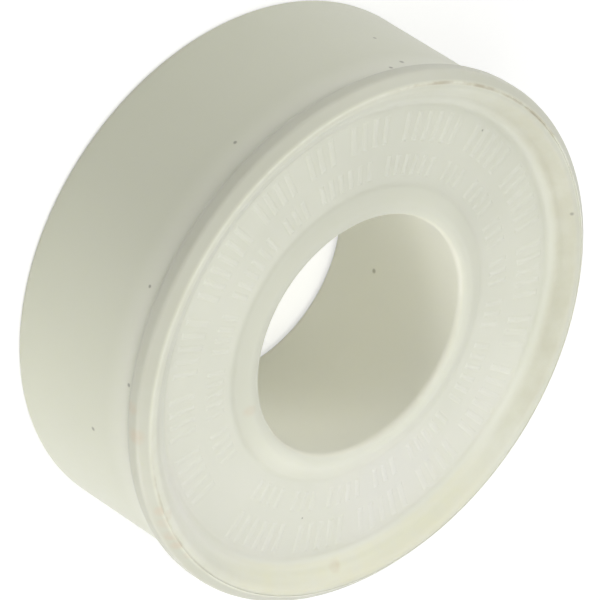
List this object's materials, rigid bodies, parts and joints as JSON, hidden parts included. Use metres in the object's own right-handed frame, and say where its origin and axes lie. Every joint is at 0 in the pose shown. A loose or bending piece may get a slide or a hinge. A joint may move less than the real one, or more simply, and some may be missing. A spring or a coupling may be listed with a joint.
{
  "type": "thread seal tape roll",
  "caption": "Roll of thread seal tape: flanged spool with a through bore, cup-shaped cover with a beaded rim, and wound film between them.",
  "frame": {"origin": "centre of the cover's outer end face, on the roll's axis, at the base the roll rests on", "axes": "+Z along the roll's axis from the cover's end to the flange; +X and +Y are free, the film's outer lap starts at +X"},
  "size_m": [0.0476, 0.0476, 0.0171],
  "materials": {
    "cover_plastic": "moulded satin off-white",
    "spool_plastic": "moulded satin off-white",
    "film": "soft white film"
  },
  "bodies": {
    "cover": {"cover": "cover_plastic"},
    "spool": {"spool": "spool_plastic"},
    "tape": {"tape_pack": "film", "tape_lap": "film"}
  },
  "joints": [
    {"name": "lift_out", "type": "slide", "parent": "cover", "child": "spool", "axis": [0, 0, 1], "range_m": [0, 0.02]},
    {"name": "tape_turn", "type": "hinge", "parent": "spool", "child": "tape", "pos_m": [0, 0, 0.008], "axis": [0, 0, 1], "continuous": true}
  ]
}
